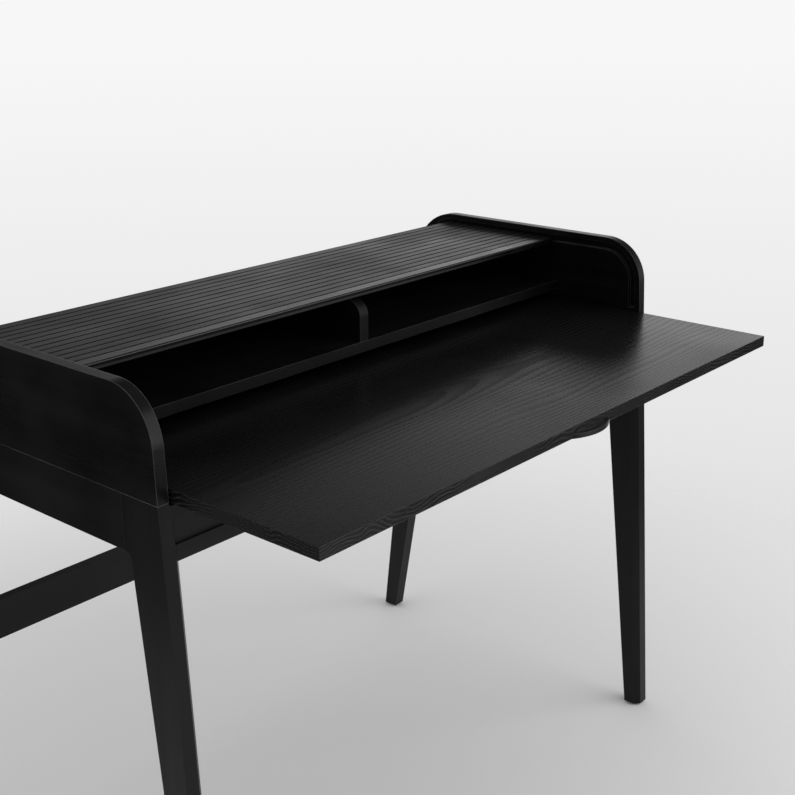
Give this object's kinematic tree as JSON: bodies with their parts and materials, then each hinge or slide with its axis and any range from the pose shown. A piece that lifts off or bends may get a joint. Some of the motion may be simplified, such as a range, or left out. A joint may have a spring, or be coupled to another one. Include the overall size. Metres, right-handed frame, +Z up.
{
  "type": "roll-top writing desk",
  "caption": "Compact black writing desk on splayed tapered legs, with a slatted tambour that rolls over a shelved gallery and a writing board that slides out.",
  "frame": {"origin": "on the floor, under the middle of the desk's box with the tambour open and the board drawn out", "axes": "+X to the right of a person sitting at the desk, +Y away from that person, +Z up"},
  "size_m": [1.05, 0.8015, 0.85],
  "materials": {
    "panel_lacquer": "black satin lacquer on smooth sheet wood",
    "frame_lacquer": "black satin lacquer on solid wood",
    "back_lacquer": "black satin lacquer on thin sheet wood",
    "gallery_lacquer": "black satin lacquer on smooth sheet wood",
    "bottom_stain": "grey-black stain on thin plywood, no lacquer",
    "rail_wood": "black stained hardwood, waxed",
    "block_wood": "black stained hardwood",
    "glide_plastic": "black felted plastic",
    "peg_wood": "plain beech",
    "screw_steel": "dark zinc plated steel",
    "board_veneer": "open-grain veneer stained black, matt lacquer",
    "pull_lacquer": "black satin lacquer on solid wood",
    "lead_lacquer": "black satin lacquer on solid wood",
    "slat_lacquer": "black satin lacquer on solid wood",
    "canvas_cloth": "black tambour canvas"
  },
  "bodies": {
    "case": {"left_side_panel": "panel_lacquer", "right_side_panel": "panel_lacquer", "left_side_apron": "frame_lacquer", "right_side_apron": "frame_lacquer", "front_left_leg": "frame_lacquer", "front_right_leg": "frame_lacquer", "rear_left_leg": "frame_lacquer", "rear_right_leg": "frame_lacquer", "front_apron": "frame_lacquer", "rear_apron": "frame_lacquer", "back_panel": "back_lacquer", "inner_back_panel": "gallery_lacquer", "shelf": "gallery_lacquer", "shelf_divider": "gallery_lacquer", "left_shelf_cleat": "gallery_lacquer", "right_shelf_cleat": "gallery_lacquer", "rear_stretcher": "frame_lacquer", "bottom_panel": "bottom_stain", "left_guide_rail": "rail_wood", "right_guide_rail": "rail_wood", "corner_blocks": "block_wood", "foot_glides": "glide_plastic", "panel_dowels": "peg_wood", "cleat_screws": "screw_steel", "guide_screws": "screw_steel"},
    "board": {"writing_board": "board_veneer", "board_pull": "pull_lacquer", "left_runner": "rail_wood", "right_runner": "rail_wood", "stop_pegs": "peg_wood"},
    "tambour_lead": {"lead_rail": "lead_lacquer", "lead_slats": "slat_lacquer", "lead_canvas": "canvas_cloth"},
    "tambour_front_1": {"front_slat_1": "slat_lacquer", "front_canvas_1": "canvas_cloth"},
    "tambour_front_2": {"front_slat_2": "slat_lacquer", "front_canvas_2": "canvas_cloth"},
    "tambour_front_3": {"front_slat_3": "slat_lacquer", "front_canvas_3": "canvas_cloth"},
    "tambour_front_4": {"front_slat_4": "slat_lacquer", "front_canvas_4": "canvas_cloth"},
    "tambour_top": {"top_slats": "slat_lacquer", "top_canvas": "canvas_cloth"},
    "tambour_rear_1": {"rear_slat_1": "slat_lacquer", "rear_canvas_1": "canvas_cloth"},
    "tambour_rear_2": {"rear_slat_2": "slat_lacquer", "rear_canvas_2": "canvas_cloth"},
    "tambour_rear_3": {"rear_slat_3": "slat_lacquer", "rear_canvas_3": "canvas_cloth"},
    "tambour_rear_4": {"rear_slat_4": "slat_lacquer", "rear_canvas_4": "canvas_cloth"},
    "tambour_tail": {"tail_slats": "slat_lacquer", "tail_canvas": "canvas_cloth"}
  },
  "joints": [
    {"name": "board_slide", "type": "slide", "parent": "case", "child": "board", "axis": [0, 1, 0], "range_m": [0, 0.226]},
    {"name": "tambour_slide", "type": "slide", "parent": "case", "child": "tambour_top", "axis": [0, -1, 0], "range_m": [0, 0.22842]},
    {"name": "tambour_lead_turn", "type": "hinge", "parent": "case", "child": "tambour_lead", "pos_m": [0, -0.01168, 0.6997], "axis": [1, 0, 0], "range_deg": [0, 87.14]},
    {"name": "tambour_front_1_turn", "type": "hinge", "parent": "case", "child": "tambour_front_1", "pos_m": [0, -0.00293, 0.65296], "axis": [1, 0, 0], "range_deg": [0, 67.48]},
    {"name": "tambour_front_2_turn", "type": "hinge", "parent": "case", "child": "tambour_front_2", "pos_m": [0, 0.00582, 0.56937], "axis": [1, 0, 0], "range_deg": [0, 47.82]},
    {"name": "tambour_front_3_turn", "type": "hinge", "parent": "case", "child": "tambour_front_3", "pos_m": [0, 0.01457, 0.37354], "axis": [1, 0, 0], "range_deg": [0, 28.16]},
    {"name": "tambour_front_4_turn", "type": "hinge", "parent": "case", "child": "tambour_front_4", "pos_m": [0, 0.02332, -0.70767], "axis": [1, 0, 0], "range_deg": [0, 8.5]},
    {"name": "tambour_rear_1_turn", "type": "hinge", "parent": "case", "child": "tambour_rear_1", "pos_m": [0, 0.13329, 0.17035], "axis": [1, 0, 0], "range_deg": [0, 19.66]},
    {"name": "tambour_rear_2_turn", "type": "hinge", "parent": "case", "child": "tambour_rear_2", "pos_m": [0, 0.14204, 0.5083], "axis": [1, 0, 0], "range_deg": [0, 39.32]},
    {"name": "tambour_rear_3_turn", "type": "hinge", "parent": "case", "child": "tambour_rear_3", "pos_m": [0, 0.15079, 0.62347], "axis": [1, 0, 0], "range_deg": [0, 58.98]},
    {"name": "tambour_rear_4_turn", "type": "hinge", "parent": "case", "child": "tambour_rear_4", "pos_m": [0, 0.15954, 0.68229], "axis": [1, 0, 0], "range_deg": [0, 78.64]},
    {"name": "tambour_tail_turn", "type": "hinge", "parent": "case", "child": "tambour_tail", "pos_m": [0, 0.16459, 0.70484], "axis": [1, 0, 0], "range_deg": [0, 90]}
  ],
  "couplings": [
    {"joint": "tambour_lead_turn", "follows": "tambour_slide", "rad_per_m": 6.658},
    {"joint": "tambour_front_1_turn", "follows": "tambour_slide", "rad_per_m": 5.1558},
    {"joint": "tambour_front_2_turn", "follows": "tambour_slide", "rad_per_m": 3.6536},
    {"joint": "tambour_front_3_turn", "follows": "tambour_slide", "rad_per_m": 2.1514},
    {"joint": "tambour_front_4_turn", "follows": "tambour_slide", "rad_per_m": 0.64918},
    {"joint": "tambour_rear_1_turn", "follows": "tambour_slide", "rad_per_m": 1.5022},
    {"joint": "tambour_rear_2_turn", "follows": "tambour_slide", "rad_per_m": 3.0044},
    {"joint": "tambour_rear_3_turn", "follows": "tambour_slide", "rad_per_m": 4.5066},
    {"joint": "tambour_rear_4_turn", "follows": "tambour_slide", "rad_per_m": 6.0088},
    {"joint": "tambour_tail_turn", "follows": "tambour_slide", "rad_per_m": 6.8767}
  ]
}
